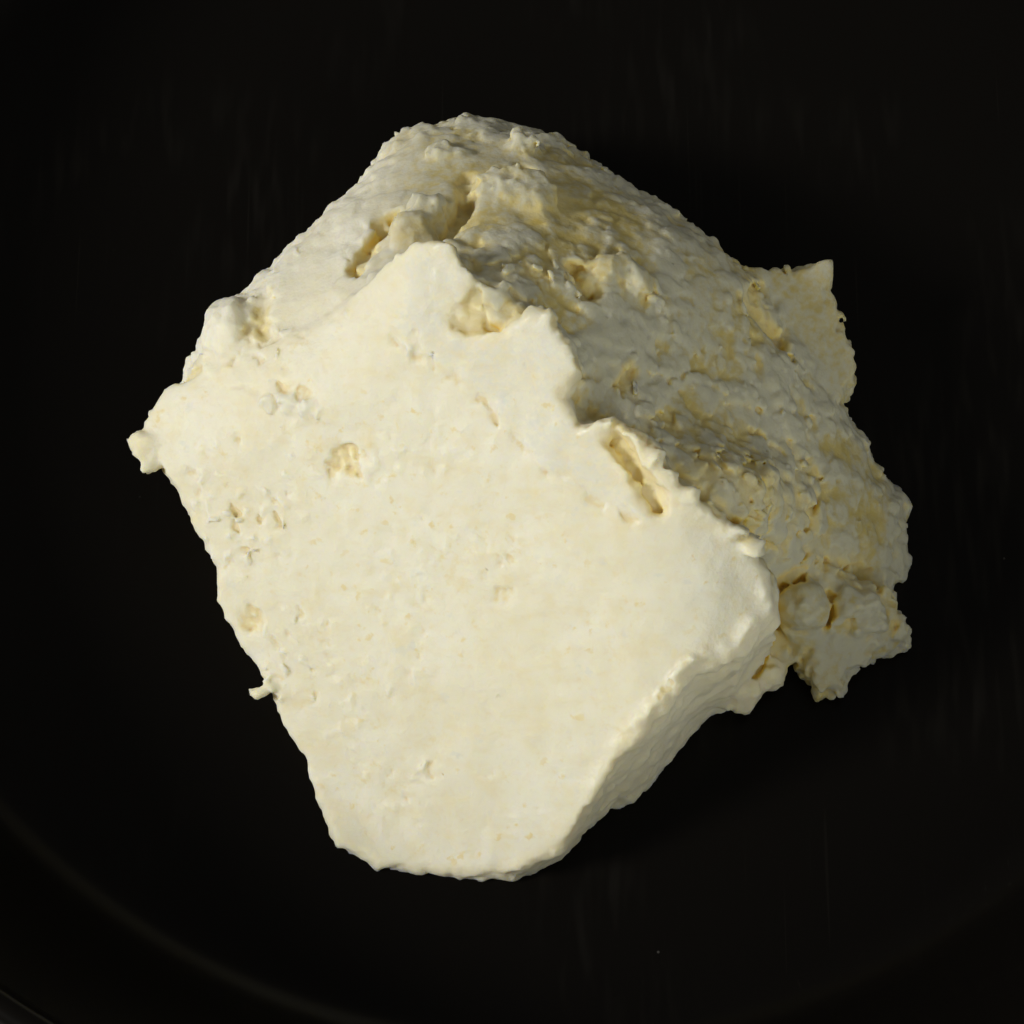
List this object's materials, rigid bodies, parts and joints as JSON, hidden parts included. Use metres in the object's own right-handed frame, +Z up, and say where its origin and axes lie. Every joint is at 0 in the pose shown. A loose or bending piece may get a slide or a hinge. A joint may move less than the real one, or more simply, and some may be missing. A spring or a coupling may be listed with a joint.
{
  "type": "bowl of ricotta",
  "caption": "Low round dark glazed bowl holding a scooped lump of ricotta with a smooth spoon-cut face and a rough, crumbly back.",
  "frame": {"origin": "middle of the bowl's underside, on the surface it stands on", "axes": "+Z up along the bowl's axis, +X to the right and +Y to the back, with the lump's spoon-cut face towards -X and -Y"},
  "size_m": [0.209, 0.209, 0.0466],
  "materials": {
    "glaze": "near-black glaze, smooth and dark, with faint smears",
    "curd": "soft cream white, moist and slightly translucent, smooth where cut and granular where torn"
  },
  "bodies": {
    "root": {"bowl": "glaze", "ricotta": "curd"}
  },
  "joints": []
}
